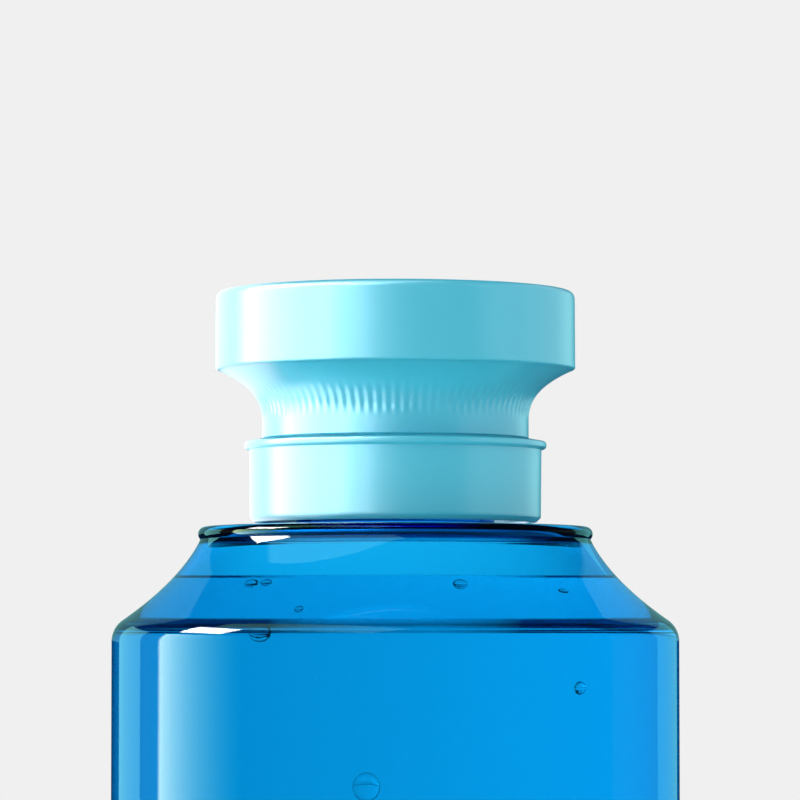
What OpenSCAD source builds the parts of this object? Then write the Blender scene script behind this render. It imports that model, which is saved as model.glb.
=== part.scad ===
/* [Bottle] */
// Outer diameter of the straight body
body_d = 62; // [58:1:68]
// Height of the flat deck that the neck rises from
deck_h = 98; // [85:1:140]
// Height from the top of the straight side up to the deck
shoulder_h = 12.5; // [11:0.1:14]
// Slope of the shoulder where it turns into the side, measured from the vertical
shoulder_slope = 55; // [52:1:60]
// Radius of the corner between the shoulder and the side
shoulder_corner = 2.8; // [2:0.1:3.2]
// Diameter of the lip ring under the cap
ring_d = 43.2; // [41:0.2:45]
// Height of the lip ring
ring_h = 1.7; // [1.5:0.1:2]
// Radius of the corner between the side and the base
base_corner = 3; // [2:0.5:5]
// Diameter of the hollow in the base
pushup_d = 40; // [30:1:48]
// Height of the hollow in the base
pushup_h = 4; // [2:0.5:6]
// Thickness of the bottle's wall
bottle_wall = 1; // [0.8:0.1:1.1]
// Thickness of the deck
deck_wall = 1.4; // [1:0.1:1.8]
// Drop from the deck to the top of the liquid
headspace_h = 6; // [5:0.1:10]

/* [Neck] */
// Height of the neck above the deck
neck_h = 13; // [12:0.5:14]
// Diameter over the crest of the neck's thread
thread_d = 24; // [22:0.5:26]
// Depth of the thread
thread_depth = 1.1; // [0.9:0.1:1.3]
// Thickness of the neck's wall under the thread
neck_wall = 1.6; // [1.2:0.1:2]
// Rise of the thread in one turn
thread_pitch = 3.2; // [3:0.1:3.6]
// Turns of thread on the neck
neck_turns = 1.5; // [1:0.25:2]
// Plain land between the thread and the rim of the neck
neck_land = 2.2; // [2:0.1:3]

/* [Cap] */
// Diameter of the cap's head at its lower edge
head_d = 39.45; // [38:0.05:44]
// Height of the cap's head
head_h = 8.6; // [8:0.1:12]
// Height of the narrow waist under the head
waist_h = 7.55; // [6.8:0.05:8.2]
// Height of the concave part of the waist
waist_curve_h = 5.9; // [5.5:0.1:6.3]
// Wall of the cap at the narrowest place of the waist
waist_wall = 1.3; // [1:0.1:1.5]
// Height of the flange between the waist and the collar
flange_h = 1.15; // [1.05:0.05:1.6]
// Reach of the flange beyond the collar
flange_lip = 0.55; // [0.35:0.05:0.8]
// Height of the collar below the flange
collar_h = 8; // [7:0.2:9]
// Thickness of the collar's wall
collar_wall = 1.5; // [1.2:0.1:1.7]
// Thickness of the floor of the head
head_floor = 1.4; // [1.2:0.1:1.8]
// Thickness of the side wall of the head
head_wall = 2.05; // [1.8:0.05:2.4]
// Thickness of the inlaid top cover
cover_t = 1.5; // [1.2:0.1:1.8]

/* [Dosing cup] */
// Thickness of the cup's wall round the thread
cup_wall = 0.9; // [0.8:0.1:1.2]
// Turns of thread inside the cup
cup_turns = 1.25; // [1:0.25:1.5]
// Inner diameter of the measuring chamber above the seat
chamber_d = 19; // [17:0.2:19.4]
// Thickness of the walls and the end of the measuring chamber
chamber_wall = 1.1; // [0.9:0.1:1.3]
// Thickness of the flange that the cup hangs by
cup_flange_t = 1.1; // [0.9:0.1:1.4]
// Thickness of the soft seal ring
seal_t = 1; // [0.8:0.1:1.2]

/* [Fits] */
// Gap between the deck and the lower edge of the cap
cap_gap = 0.5; // [0.4:0.1:1.2]
// Gap between the crest of a thread and the wall it faces
thread_gap = 0.3; // [0.25:0.05:0.4]
// Gap between the flanks of the two threads
flank_gap = 0.25; // [0.2:0.05:0.3]
// Gap between pieces of the cap that are pushed together
fit_gap = 0.1; // [0.05:0.01:0.15]
// Gap round the seal ring inside the cup
seal_gap = 0.2; // [0.15:0.05:0.25]
// Gap between the cup and the inside of the collar
collar_gap = 1.3; // [1.1:0.1:1.5]
// Gap between the liquid and the bottle's wall
liquid_gap = 0.05; // [0.02:0.01:0.1]

/* [Hidden] */
$fn = 120;

// Bottle, from the base up
body_r = body_d / 2;
shoulder_z = deck_h - shoulder_h;
pushup_r = pushup_d / 2;
pushup_sphere = (pushup_r * pushup_r + pushup_h * pushup_h) / (2 * pushup_h);
pushup_centre = pushup_h - pushup_sphere;
ring_r = ring_d / 2;
bead_r = 0.8;
bead_undercut = 45;
groove_depth = 0.1;
flare_top_r = ring_r - groove_depth;
flare_top_z = deck_h - ring_h;
flare_end_r = body_r - shoulder_corner + shoulder_corner * cos(shoulder_slope);
flare_end_z = shoulder_z + shoulder_corner * sin(shoulder_slope);
flare_drop = flare_top_z - flare_end_z;
flare_reach = flare_end_r - flare_top_r;
flare_line_share = 2 - flare_drop * tan(shoulder_slope) / flare_reach;
arc_steps = 8;
flare_steps = 10;
liquid_z = deck_h - headspace_h;

// Neck
root_r = thread_d / 2 - thread_depth;
bore_r = root_r - neck_wall;
rim_z = deck_h + neck_h;
rim_round = 0.4;
thread_crest_w = 0.8;
thread_base_w = 1.8;
thread_sink = 0.4;
thread_step = 10;
thread_ramp = 40;
thread_start_share = 0.15;
neck_thread_z = rim_z - neck_land - neck_turns * thread_pitch;

// Dosing cup
cup_bore_r = thread_d / 2 + thread_gap;
cup_r = cup_bore_r + cup_wall;
cup_thread_z = neck_thread_z - (thread_base_w + thread_crest_w) / 2 - flank_gap;
cup_recess = 0.6;
cup_z = deck_h + cap_gap + cup_recess;
seat_z = rim_z + seal_t;
chamber_r = chamber_d / 2;
chamber_out_r = chamber_r + chamber_wall;
snap_depth = 0.4;
snap_h = 0.8;
seal_r = cup_bore_r - seal_gap;
seal_bead_h = 0.6;
seal_bead_drop = 0.15;
seal_bead_depth = 0.4;

// Cap, from the lower edge up
collar_z = deck_h + cap_gap;
flange_z = collar_z + collar_h;
waist_z = flange_z + flange_h;
head_z = waist_z + waist_h;
top_z = head_z + head_h;
shell_bore_r = cup_r + fit_gap;
waist_r = shell_bore_r + waist_wall;
waist_power = 2.7;
waist_steps = 16;
waist_curve_z = head_z - waist_curve_h;
collar_in_r = cup_r + collar_gap;
collar_r = collar_in_r + collar_wall;
collar_draft = 0.07;
collar_chamfer = 0.45;
flange_r = collar_r + flange_lip;
flange_round = 0.35;
flange_slope_h = 0.3;
head_r = head_d / 2;
head_draft = 0.05;
head_top_r = head_r - head_draft;
head_edge = 0.3;
head_fillet = 0.8;
head_in_r = head_r - head_wall;
rim_wall = 1.3;
rebate_r = head_top_r - rim_wall;
cover_r = rebate_r - fit_gap;
cover_z = top_z - cover_t;
cover_skirt_h = 2;
cover_skirt_t = 1;
cover_skirt_r = head_in_r - fit_gap;
floor_z = head_z + head_floor;
cup_flange_gap = 1;
cup_flange_r = head_in_r - cup_flange_gap;
chamber_top_gap = 0.9;
chamber_top_z = cover_z - chamber_top_gap;
chamber_end_round = 1.5;
overrun = 1;

// Points of an arc in the outline plane, from one angle to another
function arc_points(centre_r, centre_z, radius, from, to) =
    [for (i = [0 : arc_steps])
        let (a = from + (to - from) * i / arc_steps)
        [centre_r + radius * cos(a), centre_z + radius * sin(a)]];

// A point of the shoulder's flare, at a share of its drop, moved inward by an inset
function flare_point(share, inset) =
    let (reach = flare_line_share * share + (1 - flare_line_share) * share * share)
    let (slope = flare_line_share + 2 * (1 - flare_line_share) * share)
    let (run = flare_reach * slope)
    let (length = sqrt(run * run + flare_drop * flare_drop))
    [flare_top_r + flare_reach * reach - inset * flare_drop / length,
     flare_top_z - flare_drop * share - inset * run / length];

// Outline of the body from the middle of the base up to the top of the flare
function body_outline(inset) = concat(
    arc_points(0, pushup_centre, pushup_sphere + inset,
        90, asin((inset - pushup_centre) / (pushup_sphere + inset))),
    arc_points(body_r - base_corner, base_corner, base_corner - inset, -90, 0),
    arc_points(body_r - shoulder_corner, shoulder_z, shoulder_corner - inset, 0, shoulder_slope),
    [for (i = [1 : flare_steps]) flare_point(1 - i / flare_steps, inset)]);

// Underside of the deck, from the flare in to the neck's bore
function deck_underside(inset) = [
    [flare_top_r - 2 * inset, deck_h - deck_wall + bottle_wall - inset],
    [bore_r + rim_round, deck_h - deck_wall + bottle_wall - inset]];

function reversed(points) = [for (i = [len(points) - 1 : -1 : 0]) points[i]];

// A helical thread: a wall radius, a crest radius and the height of its first turn's middle
module thread(wall_r, crest_r, start_z, turns) {
    steps = turns * 360 / thread_step;
    sink = crest_r > wall_r ? -thread_sink : thread_sink;
    rings = [for (i = [0 : steps])
        let (a = i * thread_step)
        let (end = min(1, a / thread_ramp, (turns * 360 - a) / thread_ramp))
        let (rise = thread_start_share + (1 - thread_start_share) * end)
        let (crest = wall_r + (crest_r - wall_r) * rise)
        let (z = start_z + thread_pitch * a / 360)
        [for (p = [[wall_r + sink, -thread_base_w], [crest, -thread_crest_w],
                   [crest, thread_crest_w], [wall_r + sink, thread_base_w]])
            [p[0] * cos(a), p[0] * sin(a), z + p[1] / 2]]];
    sides = [for (i = [0 : steps - 1], j = [0 : 3])
        let (a = 4 * i + j, b = 4 * i + (j + 1) % 4)
        each [[a, b, a + 4], [b, b + 4, a + 4]]];
    ends = [[0, 3, 2], [0, 2, 1], [4 * steps, 4 * steps + 1, 4 * steps + 2],
            [4 * steps, 4 * steps + 2, 4 * steps + 3]];
    faces = concat(sides, ends);
    points = [for (ring = rings) each ring];
    turned = [for (f = faces) [f[2], f[1], f[0]]];
    polyhedron(points = points, faces = crest_r > wall_r ? faces : turned);
}

// Blown bottle with its neck, thread, lip ring, flared shoulder and hollow base
module bottle() {
    color("deepskyblue", 0.5)
    union() {
        rotate_extrude()
        polygon(concat(
            body_outline(0),
            arc_points(ring_r - bead_r, deck_h - bead_r, bead_r, -bead_undercut, 90),
            [[root_r, deck_h], [root_r, rim_z - rim_round], [root_r - rim_round, rim_z],
             [bore_r + rim_round, rim_z], [bore_r, rim_z - rim_round],
             [bore_r, deck_h - deck_wall + rim_round]],
            reversed(deck_underside(bottle_wall)),
            reversed(body_outline(bottle_wall))));
        thread(root_r, thread_d / 2, neck_thread_z, neck_turns);
    }
}

// The liquid inside, flat on top at its fill level
module mouthwash() {
    inset = bottle_wall + liquid_gap;
    color("dodgerblue")
    difference() {
        rotate_extrude()
        polygon(concat(body_outline(inset), deck_underside(inset), [[0, deck_h - deck_wall]]));
        translate([0, 0, liquid_z])
        cylinder(h = headspace_h, r = body_r);
    }
}

// Soft ring that the cap presses on the rim of the neck
module seal_ring() {
    color("white")
    translate([0, 0, rim_z])
    difference() {
        cylinder(h = seal_t, r = seal_r);
        translate([0, 0, -overrun])
        cylinder(h = seal_t + 2 * overrun, r = bore_r);
    }
}

// Threaded inner cup: it closes the neck, and turned over it measures a dose
module dosing_cup() {
    seal_bead_z = rim_z - seal_bead_drop;
    snap_top_z = flange_z - fit_gap;
    color("aliceblue")
    union() {
        rotate_extrude()
        polygon([
            [cup_bore_r, cup_z], [cup_r, cup_z],
            [cup_r, snap_top_z - 2 * snap_h], [cup_r + snap_depth, snap_top_z - snap_h],
            [cup_r + snap_depth, snap_top_z - snap_h / 2], [cup_r, snap_top_z],
            [cup_r, seat_z + chamber_wall], [chamber_out_r, seat_z + chamber_wall],
            [chamber_out_r, floor_z], [cup_flange_r, floor_z],
            [cup_flange_r, floor_z + cup_flange_t], [chamber_out_r, floor_z + cup_flange_t],
            [chamber_out_r, chamber_top_z - chamber_end_round],
            [chamber_out_r - chamber_end_round, chamber_top_z], [0, chamber_top_z],
            [0, chamber_top_z - chamber_wall],
            [chamber_r - chamber_end_round, chamber_top_z - chamber_wall],
            [chamber_r, chamber_top_z - chamber_wall - chamber_end_round],
            [chamber_r, seat_z], [cup_bore_r, seat_z],
            [cup_bore_r, seal_bead_z],
            [cup_bore_r - seal_bead_depth, seal_bead_z - seal_bead_h / 2],
            [cup_bore_r, seal_bead_z - seal_bead_h]]);
        thread(cup_bore_r, cup_bore_r - thread_depth, cup_thread_z, cup_turns);
    }
}

// Outer shell of the cap: the head's side wall and floor, and the concave waist
module cap_shell() {
    waist_curve = [for (i = [0 : waist_steps])
        let (share = i / waist_steps)
        [waist_r + (head_r - head_edge - waist_r) * pow(share, waist_power),
         waist_curve_z + (head_z - waist_curve_z) * share]];
    color("paleturquoise")
    rotate_extrude()
    polygon(concat(
        [[shell_bore_r, waist_z], [waist_r, waist_z]],
        waist_curve,
        arc_points(head_r - head_edge, head_z + head_edge, head_edge, -90, 0),
        arc_points(head_top_r - head_fillet, top_z - head_fillet, head_fillet, 0, 90),
        [[rebate_r, top_z], [rebate_r, cover_z], [head_in_r, cover_z],
         [head_in_r, floor_z], [shell_bore_r, floor_z]]));
}

// Flat cover let into the top of the head, with a skirt that grips the side wall
module top_cover() {
    color("powderblue")
    union() {
        translate([0, 0, cover_z])
        cylinder(h = cover_t, r = cover_r);
        translate([0, 0, cover_z - cover_skirt_h])
        difference() {
            cylinder(h = cover_skirt_h, r = cover_skirt_r);
            translate([0, 0, -overrun])
            cylinder(h = cover_skirt_h + overrun, r = cover_skirt_r - cover_skirt_t);
        }
    }
}

// Lower sleeve of the cap: a flange under the waist and a skirt down to the deck
module collar() {
    web_r = cup_r + fit_gap;
    color("lightskyblue")
    rotate_extrude()
    polygon(concat(
        [[web_r, flange_z], [collar_in_r, flange_z], [collar_in_r, collar_z],
         [collar_r - collar_draft - collar_chamfer, collar_z],
         [collar_r - collar_draft, collar_z + collar_chamfer], [collar_r, flange_z]],
        arc_points(flange_r - flange_round, flange_z + flange_round, flange_round, -60, 0),
        arc_points(flange_r - flange_round, waist_z - flange_slope_h - flange_round,
            flange_round, 0, 60),
        [[waist_r, waist_z], [web_r, waist_z]]));
}

bottle();
mouthwash();
seal_ring();
dosing_cup();
cap_shell();
top_cover();
collar();
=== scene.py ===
import math

import bpy
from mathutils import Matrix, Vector


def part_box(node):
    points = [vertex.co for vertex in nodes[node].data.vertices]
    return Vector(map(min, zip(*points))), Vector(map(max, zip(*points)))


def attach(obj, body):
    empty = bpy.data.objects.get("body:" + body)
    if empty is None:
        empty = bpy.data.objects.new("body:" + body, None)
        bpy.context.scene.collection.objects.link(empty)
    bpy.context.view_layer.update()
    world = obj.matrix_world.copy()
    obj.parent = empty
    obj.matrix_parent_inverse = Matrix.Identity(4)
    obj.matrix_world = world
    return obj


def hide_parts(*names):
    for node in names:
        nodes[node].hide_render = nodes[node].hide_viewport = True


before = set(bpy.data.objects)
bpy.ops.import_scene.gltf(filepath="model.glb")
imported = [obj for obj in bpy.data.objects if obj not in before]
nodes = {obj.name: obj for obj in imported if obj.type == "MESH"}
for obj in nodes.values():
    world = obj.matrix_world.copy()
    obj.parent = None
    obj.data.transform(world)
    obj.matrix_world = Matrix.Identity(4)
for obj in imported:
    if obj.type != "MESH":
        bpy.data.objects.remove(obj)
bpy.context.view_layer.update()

# Bottle: one blown piece of clear blue PET, from the push-up in its base through the flared
# shoulder to the lip ring and the threaded neck. It is spun from half its outline, and the
# neck's thread is a helix joined to it.


def arc(centre_r, centre_z, radius, start, end, steps):
    """Points of an arc in the outline's plane, from one angle to another in degrees."""
    angles = [math.radians(start + (end - start) * i / steps) for i in range(steps + 1)]
    return [(centre_r + radius * math.cos(a), centre_z + radius * math.sin(a)) for a in angles]


def draw(name, outline):
    """A new object whose mesh is the outline, drawn point by point from a small plane."""
    bpy.ops.object.select_all(action="DESELECT")
    bpy.ops.mesh.primitive_plane_add(size=0.001)
    piece = bpy.context.object
    piece.name = piece.data.name = name
    bpy.ops.object.mode_set(mode="EDIT")
    bpy.ops.mesh.select_all(action="SELECT")
    bpy.ops.mesh.merge(type="CENTER")
    place = Vector((0, 0, 0))
    for i, (r, z) in enumerate(outline):
        step = Vector((r, 0, z)) - place
        if i == 0:
            bpy.ops.transform.translate(value=step)
        else:
            bpy.ops.mesh.extrude_region_move(TRANSFORM_OT_translate={"value": step})
        place = Vector((r, 0, z))
    return piece


weld = 0.000002


def spin(piece, angle=360, steps=288):
    """Spins the drawn outline round the bottle's axis and closes its seam and its poles."""
    bpy.ops.mesh.select_all(action="SELECT")
    bpy.ops.mesh.spin(steps=steps, angle=math.radians(angle), center=(0, 0, 0), axis=(0, 0, 1))
    bpy.ops.mesh.select_all(action="SELECT")
    bpy.ops.mesh.remove_doubles(threshold=weld)
    bpy.ops.mesh.normals_make_consistent(inside=False)
    bpy.ops.object.mode_set(mode="OBJECT")


def smooth(piece, angle=35):
    """Smooth shading that keeps every edge sharper than the angle."""
    bpy.ops.object.select_all(action="DESELECT")
    piece.select_set(True)
    bpy.context.view_layer.objects.active = piece
    bpy.ops.object.shade_smooth_by_angle(angle=math.radians(angle))


def apply_modifier(piece, kind, settings):
    """Adds a modifier with its settings and applies it."""
    bpy.ops.object.select_all(action="DESELECT")
    piece.select_set(True)
    bpy.context.view_layer.objects.active = piece
    modifier = piece.modifiers.new(kind, kind)
    for key, value in settings.items():
        setattr(modifier, key, value)
    bpy.ops.object.modifier_apply(modifier=modifier.name)


bottle_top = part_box("bottle")[1]
body_radius = bottle_top[0]
rim_z = bottle_top[2]
neck_height = 0.013
deck_z = rim_z - neck_height
shoulder_z = deck_z - 0.0125
shoulder_slope = 55
shoulder_corner = 0.0028
ring_radius = 0.0216
ring_height = 0.0017
ring_overhang = 0.0001
bead_radius = 0.0008
hollow_inset = 0.00148
hollow_drop = 0.00132
hollow_round = 0.00064
base_corner = 0.003
side_ease = 0.0005
pushup_radius = 0.020
pushup_height = 0.004
wall = 0.001
deck_wall = 0.0014
neck_root = 0.0109
root_round = 0.0005
neck_bore = 0.0093
rim_round = 0.0004
thread_radius = 0.012
thread_pitch = 0.0032
thread_turns = 1.5
thread_land = 0.0022
thread_foot = 0.0009
thread_flank = 0.0005
thread_crest = 0.0003
thread_bevel = 0.0002
thread_bite = 0.0004
flare_steps = 28

dome_radius = (pushup_radius**2 + pushup_height**2) / (2 * pushup_height)
dome_z = pushup_height - dome_radius
corner_angle = math.radians(shoulder_slope)
flare_top = (ring_radius - ring_overhang, deck_z - ring_height)
flare_end = (
    body_radius - shoulder_corner * (1 - math.cos(corner_angle)),
    shoulder_z + shoulder_corner * math.sin(corner_angle),
)
flare_reach = flare_end[0] - flare_top[0]
flare_drop = flare_top[1] - flare_end[1]
flare_line = 2 - flare_drop * math.tan(corner_angle) / flare_reach


def flare_point(share, inset):
    """A point of the shoulder's flare at a share of its drop, moved inward by the inset."""
    run = flare_reach * (flare_line + 2 * (1 - flare_line) * share)
    length = math.hypot(run, flare_drop)
    r = flare_top[0] + flare_reach * (flare_line * share + (1 - flare_line) * share**2)
    z = flare_top[1] - flare_drop * share
    return (r - inset * flare_drop / length, z - inset * run / length)


def body_outline(inset):
    """Half the body's outline, from the middle of the base up to the top of the flare."""
    base_radius = base_corner - inset
    dome_end = math.degrees(math.asin((inset - dome_z) / (dome_radius + inset)))
    side = [(body_radius - inset, base_corner + side_ease)]
    side += [(body_radius - inset, shoulder_z - side_ease)]
    corner = arc(
        body_radius - shoulder_corner, shoulder_z, shoulder_corner - inset, 0, shoulder_slope, 14
    )
    return (
        arc(0, dome_z, dome_radius + inset, 90, dome_end, 16)
        + arc(body_radius - base_corner, base_corner, base_radius, -90, 0, 14)
        + side
        + corner
        + [flare_point(1 - i / flare_steps, inset) for i in range(1, flare_steps + 1)]
    )


bead_centre = (ring_radius - bead_radius, deck_z - bead_radius)
outside = body_outline(0) + arc(*bead_centre, bead_radius, -45, 90, 16)
outside += arc(neck_root + root_round, deck_z + root_round, root_round, -90, -180, 6)
outside += arc(neck_root - rim_round, rim_z - rim_round, rim_round, 0, 90, 6)
underside_z = deck_z - deck_wall
inside = arc(neck_bore + rim_round, rim_z - rim_round, rim_round, 90, 180, 6)
inside += arc(neck_bore + rim_round, underside_z + rim_round, rim_round, 180, 270, 6)
inside += arc(ring_radius - hollow_inset, deck_z - hollow_drop, hollow_round, 90, -12, 8)
inside += list(reversed(body_outline(wall)))

bottle = draw("bottle_pet", outside + inside)
spin(bottle)

# The thread's cross-section is drawn at its lower end and swept up by a screw modifier.
thread_z = rim_z - thread_land - thread_turns * thread_pitch
thread_section = [
    (neck_root - thread_bite, thread_z - thread_foot),
    (thread_radius - thread_bevel, thread_z - thread_flank),
    (thread_radius, thread_z - thread_crest),
    (thread_radius, thread_z + thread_crest),
    (thread_radius - thread_bevel, thread_z + thread_flank),
    (neck_root - thread_bite, thread_z + thread_foot),
    (neck_root - thread_bite, thread_z - thread_foot),
]
neck_thread = draw("neck_thread", thread_section)
bpy.ops.mesh.select_all(action="SELECT")
bpy.ops.mesh.remove_doubles(threshold=weld)
bpy.ops.mesh.edge_face_add()
bpy.ops.mesh.delete(type="ONLY_FACE")
bpy.ops.object.mode_set(mode="OBJECT")
apply_modifier(
    neck_thread,
    "SCREW",
    {
        "angle": math.radians(360 * thread_turns),
        "screw_offset": thread_pitch * thread_turns,
        "steps": 108,
        "render_steps": 108,
        "axis": "Z",
    },
)
bpy.ops.object.mode_set(mode="EDIT")
bpy.ops.mesh.select_all(action="SELECT")
bpy.ops.mesh.fill_holes(sides=0)
bpy.ops.mesh.normals_make_consistent(inside=False)
bpy.ops.object.mode_set(mode="OBJECT")
apply_modifier(bottle, "BOOLEAN", {"object": neck_thread, "operation": "UNION", "solver": "EXACT"})
bpy.data.objects.remove(neck_thread)
smooth(bottle)


def linear(code):
    """An sRGB hex colour as the linear colour that Blender's sockets take."""
    parts = [int(code[i : i + 2], 16) / 255 for i in (1, 3, 5)]
    return [c / 12.92 if c <= 0.04045 else ((c + 0.055) / 1.055) ** 2.4 for c in parts] + [1]


def add(tree, kind, settings=None, links=None):
    """Adds a shader node, sets its properties or inputs, and links its inputs.

    An input is given by its name, or by its number where several have the same name.
    """
    made = tree.nodes.new(kind)
    for key, value in (settings or {}).items():
        if isinstance(key, int) or key in made.inputs:
            made.inputs[key].default_value = value
        else:
            setattr(made, key, value)
    for key, socket in (links or {}).items():
        tree.links.new(socket, made.inputs[key])
    return made


def new_material(name):
    """An empty material with an output, and its node tree."""
    material = bpy.data.materials.new(name)
    material.use_nodes = True
    material.node_tree.nodes.clear()
    return material, material.node_tree


def level_line(tree, place, height, half, soft):
    """A mask that is 1 on a thin level line round the piece at a height, and 0 elsewhere."""
    heights = add(tree, "ShaderNodeSeparateXYZ", {}, {"Vector": place})
    above = add(
        tree,
        "ShaderNodeMath",
        {"operation": "SUBTRACT", 1: height},
        {0: heights.outputs["Z"]},
    )
    away = add(tree, "ShaderNodeMath", {"operation": "ABSOLUTE"}, {0: above.outputs[0]})
    return add(
        tree,
        "ShaderNodeMapRange",
        {
            "interpolation_type": "SMOOTHSTEP",
            "From Min": half,
            "From Max": half + soft,
            "To Min": 1.0,
            "To Max": 0.0,
        },
        {"Value": away.outputs[0]},
    ).outputs["Result"]


def at_the_sides(tree, place, least, most, low):
    """Grows from the low value to 1 from the piece's middle out to its left and right sides."""
    across = add(tree, "ShaderNodeSeparateXYZ", {}, {"Vector": place})
    away = add(tree, "ShaderNodeMath", {"operation": "ABSOLUTE"}, {0: across.outputs["X"]})
    return add(
        tree,
        "ShaderNodeMapRange",
        {"From Min": least, "From Max": most, "To Min": low, "To Max": 1.0},
        {"Value": away.outputs[0]},
    ).outputs["Result"]


# Blue-tinted PET, blown into a polished mould: clear through and through, with a hard gloss
# and only the faintest waviness of the wall, about 9 mm from crest to crest. Where the shoulder
# turns into the body, two fine dark lines of painted shade go round it. They are darker towards
# the left and right sides and stand for the light that the crease bends away. A band of painted
# darker blue on the thick bead of the lip ring stands for the deeper look of the light through it.
tinted_pet, tree = new_material("tinted_pet")
place = add(tree, "ShaderNodeTexCoord").outputs["Object"]
# Painted shade: two thin dark lines round the crease where the shoulder turns into the body,
# darker towards the left and right sides.
crease_shade_line = level_line(tree, place, shoulder_z + 0.00155, half=0.00016, soft=0.00026)
crease_shade_below = level_line(tree, place, shoulder_z + 0.00090, half=0.00004, soft=0.00010)
crease_shade_lines = add(tree, "ShaderNodeMath", {"operation": "MAXIMUM"}, {0: crease_shade_line, 1: crease_shade_below})
crease_shade_shown = add(
    tree,
    "ShaderNodeMath",
    {"operation": "MULTIPLY"},
    {0: crease_shade_lines.outputs[0], 1: at_the_sides(tree, place, least=0.004, most=0.013, low=0.55)},
)
# Painted shade: a darker blue band on the lip ring's bead, standing for the deeper look of the
# light through it.
painted_bead_shade = add(
    tree,
    "ShaderNodeMix",
    {"data_type": "RGBA", 6: linear("#FFFFFF"), 7: linear("#305995")},
    {"Factor": level_line(tree, place, deck_z - 0.00120, half=0.00042, soft=0.00020)},
)
# The PET's base colour carries both painted shades: the bead's darker blue band and the dark
# crease lines.
painted_shade_tone = add(
    tree,
    "ShaderNodeMix",
    {"data_type": "RGBA", 7: linear("#000A28")},
    {"Factor": crease_shade_shown.outputs[0], 6: painted_bead_shade.outputs[2]},
)
waves = add(tree, "ShaderNodeTexNoise", {"Scale": 1 / 0.009, "Detail": 1.0}, {"Vector": place})
ripple = add(
    tree,
    "ShaderNodeBump",
    {"Strength": 0.02, "Distance": 0.0004},
    {"Height": waves.outputs["Fac"]},
)
pet = add(
    tree,
    "ShaderNodeBsdfPrincipled",
    {"Roughness": 0.0, "IOR": 1.57, "Transmission Weight": 1.0},
    {"Base Color": painted_shade_tone.outputs[2], "Normal": ripple.outputs["Normal"]},
)
tint = add(tree, "ShaderNodeVolumeAbsorption", {"Color": linear("#00EEFE"), "Density": 2500})
add(
    tree,
    "ShaderNodeOutputMaterial",
    {},
    {"Surface": pet.outputs["BSDF"], "Volume": tint.outputs["Volume"]},
)

bottle.data.materials.append(tinted_pet)
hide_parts("bottle")
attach(bottle, "bottle")

# Mouthwash: the clear blue liquid that fills the bottle to the shoulder. Its surface climbs
# the wall a little all round, and it wets the wall, so no air lies between them.
liquid_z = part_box("mouthwash")[1][2]
wetting = 0.00008
meniscus_height = 0.00025
meniscus_reach = 0.0007
liquid_side = [p for p in body_outline(wall - wetting) if p[1] < liquid_z + meniscus_height]
edge_r, edge_z = liquid_side[-1]
surface_steps = [meniscus_reach * 0.25 * i for i in range(1, 20)]
surface = [
    (edge_r - d, liquid_z + (edge_z - liquid_z) * math.exp(-d / meniscus_reach))
    for d in surface_steps
]
liquid = draw("mouthwash_liquid", liquid_side + surface + [(0, liquid_z)])
spin(liquid)
smooth(liquid)

# A thin water solution: clear, and it never scatters the light. Its edge climbs the wall and
# turns the light away, and that dark look is painted on: a thin line of painted shade round the
# liquid's edge, darkest at the left and right sides and none in the middle.
blue_liquid, tree = new_material("blue_mouthwash")
place = add(tree, "ShaderNodeTexCoord").outputs["Object"]
# Painted shade: the thin dark line at the liquid's edge, shown at the left and right sides only.
meniscus_shade_line = level_line(tree, place, edge_z, half=0.00020, soft=0.00006)
meniscus_shade_shown = add(
    tree,
    "ShaderNodeMath",
    {"operation": "MULTIPLY"},
    {0: meniscus_shade_line, 1: at_the_sides(tree, place, least=0.009, most=0.016, low=0.0)},
)
painted_meniscus_shade = add(
    tree,
    "ShaderNodeMix",
    {"data_type": "RGBA", 6: linear("#FFFFFF"), 7: linear("#10203A")},
    {"Factor": meniscus_shade_shown.outputs[0]},
)
water = add(
    tree,
    "ShaderNodeBsdfPrincipled",
    {"Roughness": 0.0, "IOR": 1.22, "Transmission Weight": 1.0},
    {"Base Color": painted_meniscus_shade.outputs[2]},
)
dye = add(tree, "ShaderNodeVolumeAbsorption", {"Color": linear("#00E5F3"), "Density": 30})
add(
    tree,
    "ShaderNodeOutputMaterial",
    {},
    {"Surface": water.outputs["BSDF"], "Volume": dye.outputs["Volume"]},
)
liquid.data.materials.append(blue_liquid)
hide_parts("mouthwash")
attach(liquid, "bottle")

# Air bubbles: a few small ones that cling to the inside of the wall, as in any bottle that
# has just been moved. One is modelled as a bead with a flat side, and each is a copy of it.
bubble_depth = 0.0005
bubble_gap = 0.0001
bubble_flat = 0.8
bubble_places = [
    (-5.7, body_radius - wall, 0.0705, 0.0014, 0.0015),
    (-28.0, body_radius - wall, 0.0862, 0.0013, 0.0008),
    (-38.0, flare_point(0.60, wall)[0], 0.0912, 0.0009, 0.0006),
    (-33.5, flare_point(0.60, wall)[0], 0.0913, 0.0007, 0.0005),
    (16.0, flare_point(0.61, wall)[0], 0.0911, 0.0008, 0.0007),
    (-21.0, flare_point(0.92, wall)[0], 0.0885, 0.0005, 0.0005),
    (40.0, body_radius - wall, 0.0806, 0.0008, 0.0007),
    (44.0, flare_point(0.69, wall)[0], 0.0904, 0.0007, 0.0003),
]
bpy.ops.object.select_all(action="DESELECT")
bpy.ops.mesh.primitive_uv_sphere_add(segments=40, ring_count=20, radius=1)
bead = bpy.context.object
bpy.ops.object.mode_set(mode="EDIT")
bpy.ops.mesh.select_all(action="SELECT")
bpy.ops.mesh.bisect(
    plane_co=(0, -bubble_flat, 0), plane_no=(0, -1, 0), use_fill=True, clear_outer=True
)
bpy.ops.object.mode_set(mode="OBJECT")
copies = []
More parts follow.
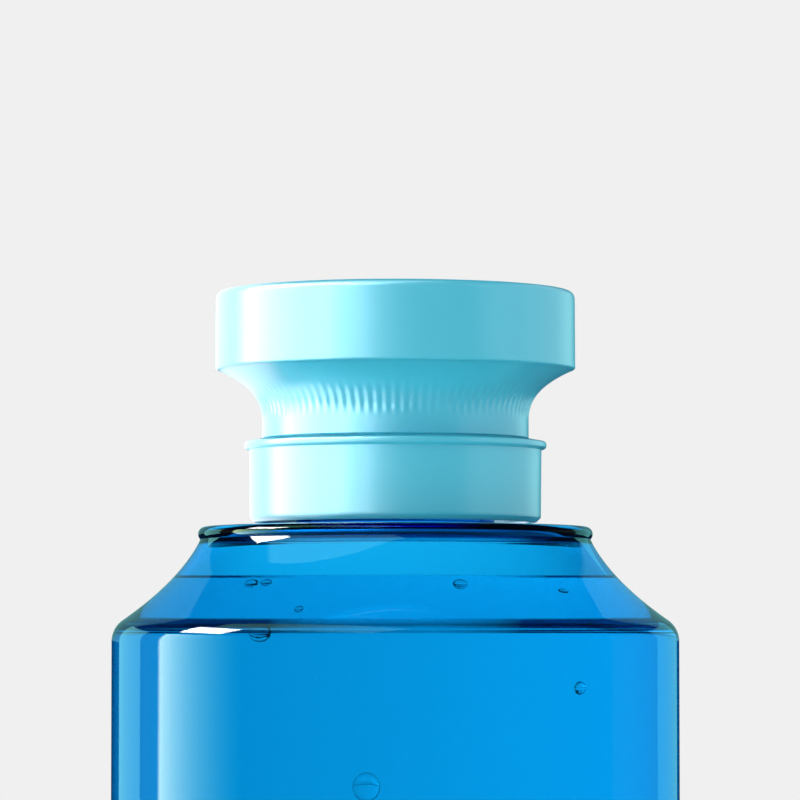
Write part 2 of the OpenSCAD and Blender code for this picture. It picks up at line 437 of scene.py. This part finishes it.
for azimuth, reach, height, half_width, half_height in bubble_places:
    bpy.ops.object.select_all(action="DESELECT")
    bead.select_set(True)
    bpy.context.view_layer.objects.active = bead
    bpy.ops.object.duplicate(linked=False)
    copies.append(bpy.context.object)
    turn = math.radians(azimuth)
    middle = reach - bubble_gap - bubble_depth
    bpy.ops.object.mode_set(mode="EDIT")
    bpy.ops.mesh.select_all(action="SELECT")
    bpy.ops.transform.resize(
        value=(half_width, bubble_depth, half_height), center_override=(0, 0, 0)
    )
    bpy.ops.transform.rotate(value=-turn, orient_axis="Z", center_override=(0, 0, 0))
    bpy.ops.transform.translate(
        value=(middle * math.sin(turn), -middle * math.cos(turn), height)
    )
    bpy.ops.mesh.normals_make_consistent(inside=False)
    bpy.ops.object.mode_set(mode="OBJECT")
bpy.data.objects.remove(bead)
bpy.ops.object.select_all(action="DESELECT")
for bubble in copies:
    bubble.select_set(True)
bpy.context.view_layer.objects.active = copies[0]
bpy.ops.object.join()
bubbles = bpy.context.object
bubbles.name = bubbles.data.name = "air_bubbles"
smooth(bubbles)

# Trapped air: a clear skin with no colour of its own, so that only its edge shows.
trapped_air, tree = new_material("trapped_air")
skin = add(
    tree,
    "ShaderNodeBsdfPrincipled",
    {
        "Base Color": linear("#FFFFFF"),
        "Roughness": 0.0,
        "IOR": 1.3,
        "Transmission Weight": 1.0,
    },
)
add(tree, "ShaderNodeOutputMaterial", {}, {"Surface": skin.outputs["BSDF"]})
bubbles.data.materials.append(trapped_air)
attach(bubbles, "bottle")

# Cap shell: the head and the concave waist, one moulding of satin cyan polypropylene. A run
# of fine upright flutes is cut into the waist for grip; one is modelled and copied round.
shell_low, shell_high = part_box("cap_shell")
head_radius = shell_high[0]
waist_z = shell_low[2]
top_z = shell_high[2]
head_z = top_z - 0.0086
waist_radius = 0.0146
shell_bore = 0.0133
waist_curve_height = 0.0059
waist_power = 2.7
edge_break = 0.0001
waist_foot = 0.0003
head_edge = 0.0003
head_ease = 0.00001
head_low = 0.0008
head_high = 0.0005
head_fillet = 0.0008
head_top_radius = head_radius - 0.00005
head_inside = head_radius - 0.00205
rebate_radius = head_top_radius - 0.0013
cover_z = top_z - 0.0015
floor_z = head_z + 0.0014
flute_count = 96
flute_columns = 8
flute_depth = 0.00010
flute_skin = 0.0002
flute_weld = 0.00001
flute_low = head_z - 0.0056
flute_high = head_z - 0.0016
flute_fade_low = 0.0010
flute_fade_high = 0.0018


def waist_point(share):
    """A point of the concave waist, from its narrow end at 0 to the head's underside at 1."""
    reach = head_radius - head_edge - waist_radius
    z = head_z - waist_curve_height * (1 - share)
    return (waist_radius + reach * share**waist_power, z)


shell_outline = [(shell_bore, waist_z), (waist_radius - edge_break, waist_z)]
shell_outline += [(waist_radius, waist_z + edge_break), (waist_radius, waist_z + waist_foot)]
shell_outline += [waist_point(i / 30) for i in range(31)]
shell_outline += arc(head_radius - head_edge, head_z + head_edge, head_edge, -90, 0, 6)
shell_outline += [(head_radius - head_ease, head_z + head_low)]
shell_outline += [(head_top_radius + head_ease, top_z - head_fillet - head_high)]
shell_outline += arc(head_top_radius - head_fillet, top_z - head_fillet, head_fillet, 0, 90, 10)
shell_outline += [(rebate_radius + edge_break, top_z), (rebate_radius, top_z - edge_break)]
shell_outline += [(rebate_radius, cover_z), (head_inside, cover_z), (head_inside, floor_z)]
shell_outline += [(shell_bore, floor_z), (shell_bore, waist_z)]

flute_angle = 360 / flute_count
column_angle = flute_angle / flute_columns
cap_shell = draw("cap_shell_satin", shell_outline)
spin(cap_shell, flute_angle, flute_columns)
bpy.ops.object.mode_set(mode="EDIT")
bpy.ops.mesh.select_all(action="DESELECT")
bpy.ops.object.mode_set(mode="OBJECT")
mesh = cap_shell.data
rows = sorted({round(v.co.z, 7) for v in mesh.vertices if flute_low < v.co.z < flute_high})
for column in range(1, flute_columns):
    for row in rows:
        ends = min((row - flute_low) / flute_fade_low, (flute_high - row) / flute_fade_high, 1)
        hollow = flute_depth * ends * math.sin(math.pi * column / flute_columns) ** 2
        for v in mesh.vertices:
            angle = math.degrees(math.atan2(v.co.y, v.co.x))
            in_column = abs(abs(angle) - column * column_angle) < column_angle / 10
            on_waist = math.hypot(v.co.x, v.co.y) > waist_radius - flute_skin
            v.select = in_column and on_waist and abs(v.co.z - row) < weld
        picked = [v for v in mesh.vertices if v.select]
        radius = math.hypot(picked[0].co.x, picked[0].co.y)
        scale = 1 - hollow / radius
        bpy.ops.object.mode_set(mode="EDIT")
        bpy.ops.transform.resize(value=(scale, scale, 1), center_override=(0, 0, 0))
        bpy.ops.object.mode_set(mode="OBJECT")

bpy.ops.object.empty_add(location=(0, 0, 0), rotation=(0, 0, math.radians(flute_angle)))
turn = bpy.context.object
apply_modifier(
    cap_shell,
    "ARRAY",
    {
        "count": flute_count,
        "use_relative_offset": False,
        "use_object_offset": True,
        "offset_object": turn,
        "use_merge_vertices": True,
        "use_merge_vertices_cap": True,
        "merge_threshold": flute_weld,
    },
)
bpy.data.objects.remove(turn)
smooth(cap_shell)

# Satin polypropylene, moulded in a finely blasted mould: a soft wide shine over a fine grain
# of about 0.12 mm, with a trace of cloudiness in the cyan pigment.
satin_pp, tree = new_material("satin_cyan_polypropylene")
place = add(tree, "ShaderNodeTexCoord").outputs["Object"]
grain = add(tree, "ShaderNodeTexNoise", {"Scale": 1 / 0.00012, "Detail": 2.0}, {"Vector": place})
cloud = add(tree, "ShaderNodeTexNoise", {"Scale": 1 / 0.006, "Detail": 2.0}, {"Vector": place})
pigment = add(
    tree,
    "ShaderNodeMix",
    {"data_type": "RGBA", 6: linear("#3FBED8"), 7: linear("#45C3DC")},
    {"Factor": cloud.outputs["Fac"]},
)
relief = add(
    tree,
    "ShaderNodeBump",
    {"Strength": 0.15, "Distance": 0.00001},
    {"Height": grain.outputs["Fac"]},
)
satin = add(
    tree,
    "ShaderNodeBsdfPrincipled",
    {"Roughness": 0.30, "IOR": 1.5, "Specular IOR Level": 1.0},
    {"Base Color": pigment.outputs[2], "Normal": relief.outputs["Normal"]},
)
add(tree, "ShaderNodeOutputMaterial", {}, {"Surface": satin.outputs["BSDF"]})
cap_shell.data.materials.append(satin_pp)
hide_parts("cap_shell")
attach(cap_shell, "cap")

# Collar: the sleeve under the waist, in the same plastic. Its flange meets the waist in a
# thin dark joint and turns down in a small rounded rim, and its lower edge is chamfered.
collar_low, collar_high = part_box("collar")
collar_z = collar_low[2]
flange_radius = collar_high[0]
flange_z = waist_z - 0.00115
collar_radius = 0.0160
collar_draft = 0.00007
collar_chamfer = 0.00045
chamfer_ease = 0.00005
foot_ease = 0.0004
collar_bore = 0.0145
bore_break = 0.0002
web_bore = 0.0133
flange_round = 0.00035
flange_slope = 0.0003
joint = 0.00003
seat_inset = 0.0002

foot_radius = collar_radius - collar_draft
seat_radius = waist_radius - seat_inset
lower_round = (flange_radius - flange_round, flange_z + flange_round)
upper_round = (flange_radius - flange_round, waist_z - flange_slope - flange_round)
collar_outline = [(web_bore, flange_z), (collar_bore, flange_z)]
collar_outline += [(collar_bore, collar_z + bore_break), (collar_bore + bore_break, collar_z)]
collar_outline += [(foot_radius - collar_chamfer - edge_break, collar_z)]
collar_outline += [(foot_radius - collar_chamfer, collar_z + chamfer_ease)]
collar_outline += [(foot_radius - chamfer_ease, collar_z + collar_chamfer)]
collar_outline += [(foot_radius, collar_z + collar_chamfer + edge_break)]
collar_outline += [(foot_radius, collar_z + collar_chamfer + foot_ease)]
collar_outline += [(collar_radius, flange_z - foot_ease), (collar_radius, flange_z - edge_break)]
collar_outline += arc(*lower_round, flange_round, -70, 0, 8)
collar_outline += arc(*upper_round, flange_round, 0, 70, 8)
collar_outline += [(waist_radius + edge_break, waist_z - joint)]
collar_outline += [(seat_radius, waist_z - joint), (seat_radius, waist_z)]
collar_outline += [(web_bore, waist_z), (web_bore, flange_z)]
collar = draw("collar_satin", collar_outline)
spin(collar)
smooth(collar)
collar.data.materials.append(satin_pp)
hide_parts("collar")
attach(collar, "cap")

# Top cover: the flat disc let into the head, with the small sunk mark of its moulding gate
# in the middle and a rounded edge. It is moulded in the same plastic and held by a skirt that
# is pressed inside the head's wall.
cover_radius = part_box("top_cover")[1][0]
cover_fit = 0.0001
cover_skirt_radius = head_inside - cover_fit
cover_skirt_wall = 0.001
cover_skirt_z = cover_z - 0.002
cover_edge = 0.0003
gate_radius = 0.0009
gate_depth = 0.0002
gate_slope_radius = 0.0012
gate_rim_radius = 0.0015
cover_outline = [(0, top_z - gate_depth), (gate_radius, top_z - gate_depth)]
cover_outline += [(gate_slope_radius, top_z - gate_depth / 2), (gate_rim_radius, top_z)]
cover_outline += arc(cover_radius - cover_edge, top_z - cover_edge, cover_edge, 90, 0, 6)
cover_outline += [(cover_radius, cover_z), (cover_skirt_radius, cover_z)]
cover_outline += [(cover_skirt_radius, cover_skirt_z)]
cover_outline += [(cover_skirt_radius - cover_skirt_wall, cover_skirt_z)]
cover_outline += [(cover_skirt_radius - cover_skirt_wall, cover_z), (0, cover_z)]
top_cover = draw("top_cover_satin", cover_outline)
spin(top_cover, steps=192)
smooth(top_cover)
top_cover.data.materials.append(satin_pp)
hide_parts("top_cover")
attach(top_cover, "cap")

# Dosing cup: moulded in natural polypropylene, milky and see-through where it is thin. It
# screws on the neck and closes it, and off the bottle it is the measure. It is the solid from
# the frame, which has the true thread.
natural_pp, tree = new_material("natural_polypropylene")
place = add(tree, "ShaderNodeTexCoord").outputs["Object"]
haze = add(tree, "ShaderNodeTexNoise", {"Scale": 1 / 0.002, "Detail": 2.0}, {"Vector": place})
haze_bump = add(
    tree,
    "ShaderNodeBump",
    {"Strength": 0.1, "Distance": 0.00002},
    {"Height": haze.outputs["Fac"]},
)
milky = add(
    tree,
    "ShaderNodeBsdfPrincipled",
    {
        "Base Color": linear("#E6F2F4"),
        "Roughness": 0.32,
        "IOR": 1.5,
        "Subsurface Weight": 0.35,
        "Subsurface Scale": 0.002,
    },
    {"Normal": haze_bump.outputs["Normal"]},
)
add(tree, "ShaderNodeOutputMaterial", {}, {"Surface": milky.outputs["BSDF"]})
nodes["dosing_cup"].data.materials.clear()
nodes["dosing_cup"].data.materials.append(natural_pp)

# Seal ring: a soft white ring stamped from foamed polyethylene. It is pressed between the
# rim of the neck and the cup; fine closed cells of about 0.3 mm make its face dull.
soft_foam, tree = new_material("foamed_polyethylene")
place = add(tree, "ShaderNodeTexCoord").outputs["Object"]
cells = add(tree, "ShaderNodeTexVoronoi", {"Scale": 1 / 0.0003}, {"Vector": place})
cell_bump = add(
    tree,
    "ShaderNodeBump",
    {"Strength": 0.3, "Distance": 0.00003},
    {"Height": cells.outputs["Distance"]},
)
foam = add(
    tree,
    "ShaderNodeBsdfPrincipled",
    {"Base Color": linear("#DEE2E2"), "Roughness": 0.75, "IOR": 1.5},
    {"Normal": cell_bump.outputs["Normal"]},
)
add(tree, "ShaderNodeOutputMaterial", {}, {"Surface": foam.outputs["BSDF"]})
nodes["seal_ring"].data.materials.clear()
nodes["seal_ring"].data.materials.append(soft_foam)

# Studio: a pale floor under an even pale surround. Soft panels at both sides make the shine;
# those of the clear bottle and those of the satin cap are separate, as on a real set with flags.
bpy.ops.object.select_all(action="DESELECT")
bpy.ops.mesh.primitive_circle_add(vertices=96, radius=1.2, fill_type="NGON")
floor = bpy.context.object
floor.name = floor.data.name = "studio_floor"
paper, tree = new_material("pale_paper")
place = add(tree, "ShaderNodeTexCoord").outputs["Object"]
fibre = add(tree, "ShaderNodeTexNoise", {"Scale": 1 / 0.0015, "Detail": 3.0}, {"Vector": place})
fibre_bump = add(
    tree,
    "ShaderNodeBump",
    {"Strength": 0.05, "Distance": 0.0001},
    {"Height": fibre.outputs["Fac"]},
)
sheet = add(
    tree,
    "ShaderNodeBsdfPrincipled",
    {"Base Color": linear("#D2D2D2"), "Roughness": 0.9},
    {"Normal": fibre_bump.outputs["Normal"]},
)
add(tree, "ShaderNodeOutputMaterial", {}, {"Surface": sheet.outputs["BSDF"]})
floor.data.materials.append(paper)
floor.visible_glossy = False
cap_shell.visible_glossy = False


aim_z = 0.1


def around(azimuth, elevation, distance):
    """A place round the bottle, its azimuth counted from the front, with the left negative."""
    side, up = math.radians(azimuth), math.radians(elevation)
    reach = distance * math.cos(up)
    height = aim_z + distance * math.sin(up)
    return Vector((reach * math.sin(side), -reach * math.cos(side), height))


def facing(place):
    """The rotation that turns a lamp or a panel at a place towards the bottle's shoulder."""
    return (Vector((0, 0, aim_z)) - place).to_track_quat("-Z", "Y").to_euler()


def panel(name, place, size, colours, glow, fade):
    """A glowing panel that faces the bottle and shows in its reflections only.

    With a fade above 0 it is brightest at one edge, the far one where it stands at the left,
    and its colour goes from the second one at the dim edge to the first at the bright edge.
    """
    bpy.ops.object.select_all(action="DESELECT")
    bpy.ops.mesh.primitive_plane_add(size=1)
    board = bpy.context.object
    board.name = board.data.name = name
    board.scale = (size[0], size[1], 1)
    board.rotation_euler = facing(place)
    board.location = place
    board.visible_camera = False
    board.visible_diffuse = False
    board.visible_transmission = False
    cloth, tree = new_material(name + "_cloth")
    aim = add(tree, "ShaderNodeTexCoord").outputs["Object"]
    across = add(tree, "ShaderNodeSeparateXYZ", {}, {"Vector": aim})
    ramp = add(
        tree,
        "ShaderNodeMapRange",
        {"From Min": 0.5, "From Max": -0.5, "To Min": 0.0, "To Max": 1.0},
        {"Value": across.outputs["X"]},
    )
    steep = add(
        tree,
        "ShaderNodeMath",
        {"operation": "POWER", 1: fade},
        {0: ramp.outputs["Result"]},
    )
    border = add(
        tree,
        "ShaderNodeMapRange",
        {"From Min": -0.5, "From Max": -0.45, "To Min": 0.0, "To Max": glow},
        {"Value": across.outputs["X"]},
    )
    strength = add(
        tree,
        "ShaderNodeMath",
        {"operation": "MULTIPLY"},
        {0: steep.outputs[0], 1: border.outputs["Result"]},
    )
    blend = add(
        tree,
        "ShaderNodeMix",
        {"data_type": "RGBA", 6: linear(colours[1]), 7: linear(colours[0])},
        {"Factor": ramp.outputs["Result"]},
    )
    lamp = add(
        tree,
        "ShaderNodeEmission",
        {},
        {"Color": blend.outputs[2], "Strength": strength.outputs[0]},
    )
    add(tree, "ShaderNodeOutputMaterial", {}, {"Surface": lamp.outputs["Emission"]})
    board.data.materials.append(cloth)


for name, place, size, colours, glow, fade in (
    ("bottle_left", around(-84, -5, 0.45), (0.40, 0.36), ("#E4FFCE", "#00FFCE"), 7.5, 1.35),
    ("bottle_rim_left", around(-135, 4, 0.60), (0.27, 0.30), ("#96FFFF", "#96FFFF"), 1.4, 0),
    ("bottle_tail_left", around(-113, 4, 0.80), (0.5, 0.30), ("#FFFFFF", "#FFFFFF"), 0.07, 0),
    ("bottle_rim_right", around(143, 3, 0.60), (0.32, 0.30), ("#86FFFF", "#86FFFF"), 0.75, 0),
    ("bottle_tail_right", around(112, 4, 0.80), (0.5, 0.30), ("#C8F0FF", "#C8F0FF"), 0.10, 0),
    ("bottle_sparkle", around(-89, 31, 0.62), (0.27, 0.18), ("#FFFFFF", "#FFFFFF"), 20.0, 0),
    ("bottle_overhead", around(-50, 52, 0.60), (0.80, 0.30), ("#9CFFE8", "#9CFFE8"), 1.2, 0),
    ("bottle_back", around(180, 20, 0.80), (1.1, 0.6), ("#86DCE0", "#86DCE0"), 0.5, 0),
):
    panel(name, place, size, colours, glow, fade)

bottle_pieces = bpy.data.collections.new("bottle_pieces")
for piece in (bottle, liquid, bubbles):
    bottle_pieces.objects.link(piece)
bpy.data.objects["bottle_back"].light_linking.receiver_collection = bottle_pieces
cap_pieces = bpy.data.collections.new("cap_pieces")
for piece in (cap_shell, collar, top_cover):
    cap_pieces.objects.link(piece)
floor_only = bpy.data.collections.new("floor_only")
floor_only.objects.link(floor)


def soft_light(name, place, size, radiance, lights, shines, spreads):
    """A rectangular lamp for the pieces of one collection, which alone can block it.

    It gives them shine, spread light or both.
    """
    data = bpy.data.lights.new(name, "AREA")
    data.shape = "RECTANGLE"
    data.size, data.size_y = size
    data.energy = radiance * math.pi * size[0] * size[1]
    lamp = bpy.data.objects.new(name, data)
    bpy.context.collection.objects.link(lamp)
    lamp.location = place
    lamp.rotation_euler = facing(Vector(place))
    lamp.visible_camera = False
    lamp.visible_glossy = shines
    lamp.visible_diffuse = spreads
    lamp.light_linking.receiver_collection = lights
    lamp.light_linking.blocker_collection = lights


cap_lamp_reach = 0.33
for name, azimuth, height, size, radiance in (
    ("cap_left", -76, 0.13, (0.50, 0.30), 8.0),
    ("cap_left_high", -68, 0.43, (0.78, 0.25), 12.3),
    ("cap_left_low", -80, -0.16, (0.50, 0.30), 4.0),
    ("cap_far_left", -138, 0.12, (0.42, 0.60), 2.6),
    ("cap_half_left", -30, 0.13, (0.145, 0.28), 3.9),
    ("cap_front", -12, 0.13, (0.145, 0.40), 0.45),
    ("cap_right", 104, 0.20, (0.76, 0.50), 0.76),
):
    angle = math.radians(azimuth)
    place = (cap_lamp_reach * math.sin(angle), -cap_lamp_reach * math.cos(angle), height)
    soft_light(name, place, size, radiance, cap_pieces, True, False)
soft_light("cap_top", (-0.08, -0.12, 0.42), (0.3, 0.3), 2.6, cap_pieces, True, False)
soft_light("cap_below", (-0.14, -0.26, -0.20), (0.4, 0.4), 1.2, cap_pieces, False, True)
soft_light("floor_light", (-0.5, 0.55, 0.35), (0.4, 0.4), 15.0, floor_only, True, True)

# The surround: even and pale to the camera. What the clear pieces show behind them is brighter
# at the left and dimmer overhead and on the camera's side, what they mirror is a dim blue, and
# the spread light is white.
world = bpy.data.worlds.new("pale_surround")
bpy.context.scene.world = world
world.use_nodes = True
tree = world.node_tree
tree.nodes.clear()
aim = add(tree, "ShaderNodeTexCoord").outputs["Generated"]
sideways = add(tree, "ShaderNodeSeparateXYZ", {}, {"Vector": aim})
factors = []
for axis, start, end, first, last in (
    ("X", -0.3, 0.25, 1.38, 1.05),
    ("Z", 0.35, 0.6, 1.0, 0.25),
    ("Y", -0.2, 0.3, 0.4, 1.0),
):
    factor = add(
        tree,
        "ShaderNodeMapRange",
        {
            "interpolation_type": "SMOOTHSTEP",
            "From Min": start,
            "From Max": end,
            "To Min": first,
            "To Max": last,
        },
        {"Value": sideways.outputs[axis]},
    )
    factors.append(factor.outputs["Result"])
brightness = factors[0]
for factor in factors[1:]:
    product = add(tree, "ShaderNodeMath", {"operation": "MULTIPLY"}, {0: brightness, 1: factor})
    brightness = product.outputs[0]
pale = linear("#F0F0F0")
seen = add(tree, "ShaderNodeBackground", {"Color": pale, "Strength": 1.0})
through = add(tree, "ShaderNodeBackground", {"Color": pale}, {"Strength": brightness})
mirrored = add(tree, "ShaderNodeBackground", {"Color": linear("#2A7AD0"), "Strength": 0.12})
spread = add(tree, "ShaderNodeBackground", {"Color": pale, "Strength": 1.10})
paths = add(tree, "ShaderNodeLightPath")
surround = seen
for path, light in (
    ("Is Transmission Ray", through),
    ("Is Reflection Ray", mirrored),
    ("Is Diffuse Ray", spread),
):
    surround = add(
        tree,
        "ShaderNodeMixShader",
        {},
        {"Fac": paths.outputs[path], 1: surround.outputs[0], 2: light.outputs[0]},
    )
add(tree, "ShaderNodeOutputWorld", {}, {"Surface": surround.outputs[0]})

bpy.context.scene.view_settings.view_transform = "Standard"
bpy.context.scene.view_settings.look = "None"

# Camera: half a metre in front of the bottle with a long lens that frames its upper half. It
# stands a little below the cap and looks slightly up.
camera_place = (0.0005, -0.510, 0.0850)
camera_tilt = 3.0236
camera_lens = 209.5
camera_data = bpy.data.cameras.new("camera")
camera_data.lens = camera_lens
camera_data.sensor_width = 36
camera_data.dof.use_dof = False
camera = bpy.data.objects.new("camera", camera_data)
bpy.context.collection.objects.link(camera)
camera.location = camera_place
camera.rotation_euler = (math.radians(90 + camera_tilt), 0, 0)
bpy.context.scene.camera = camera
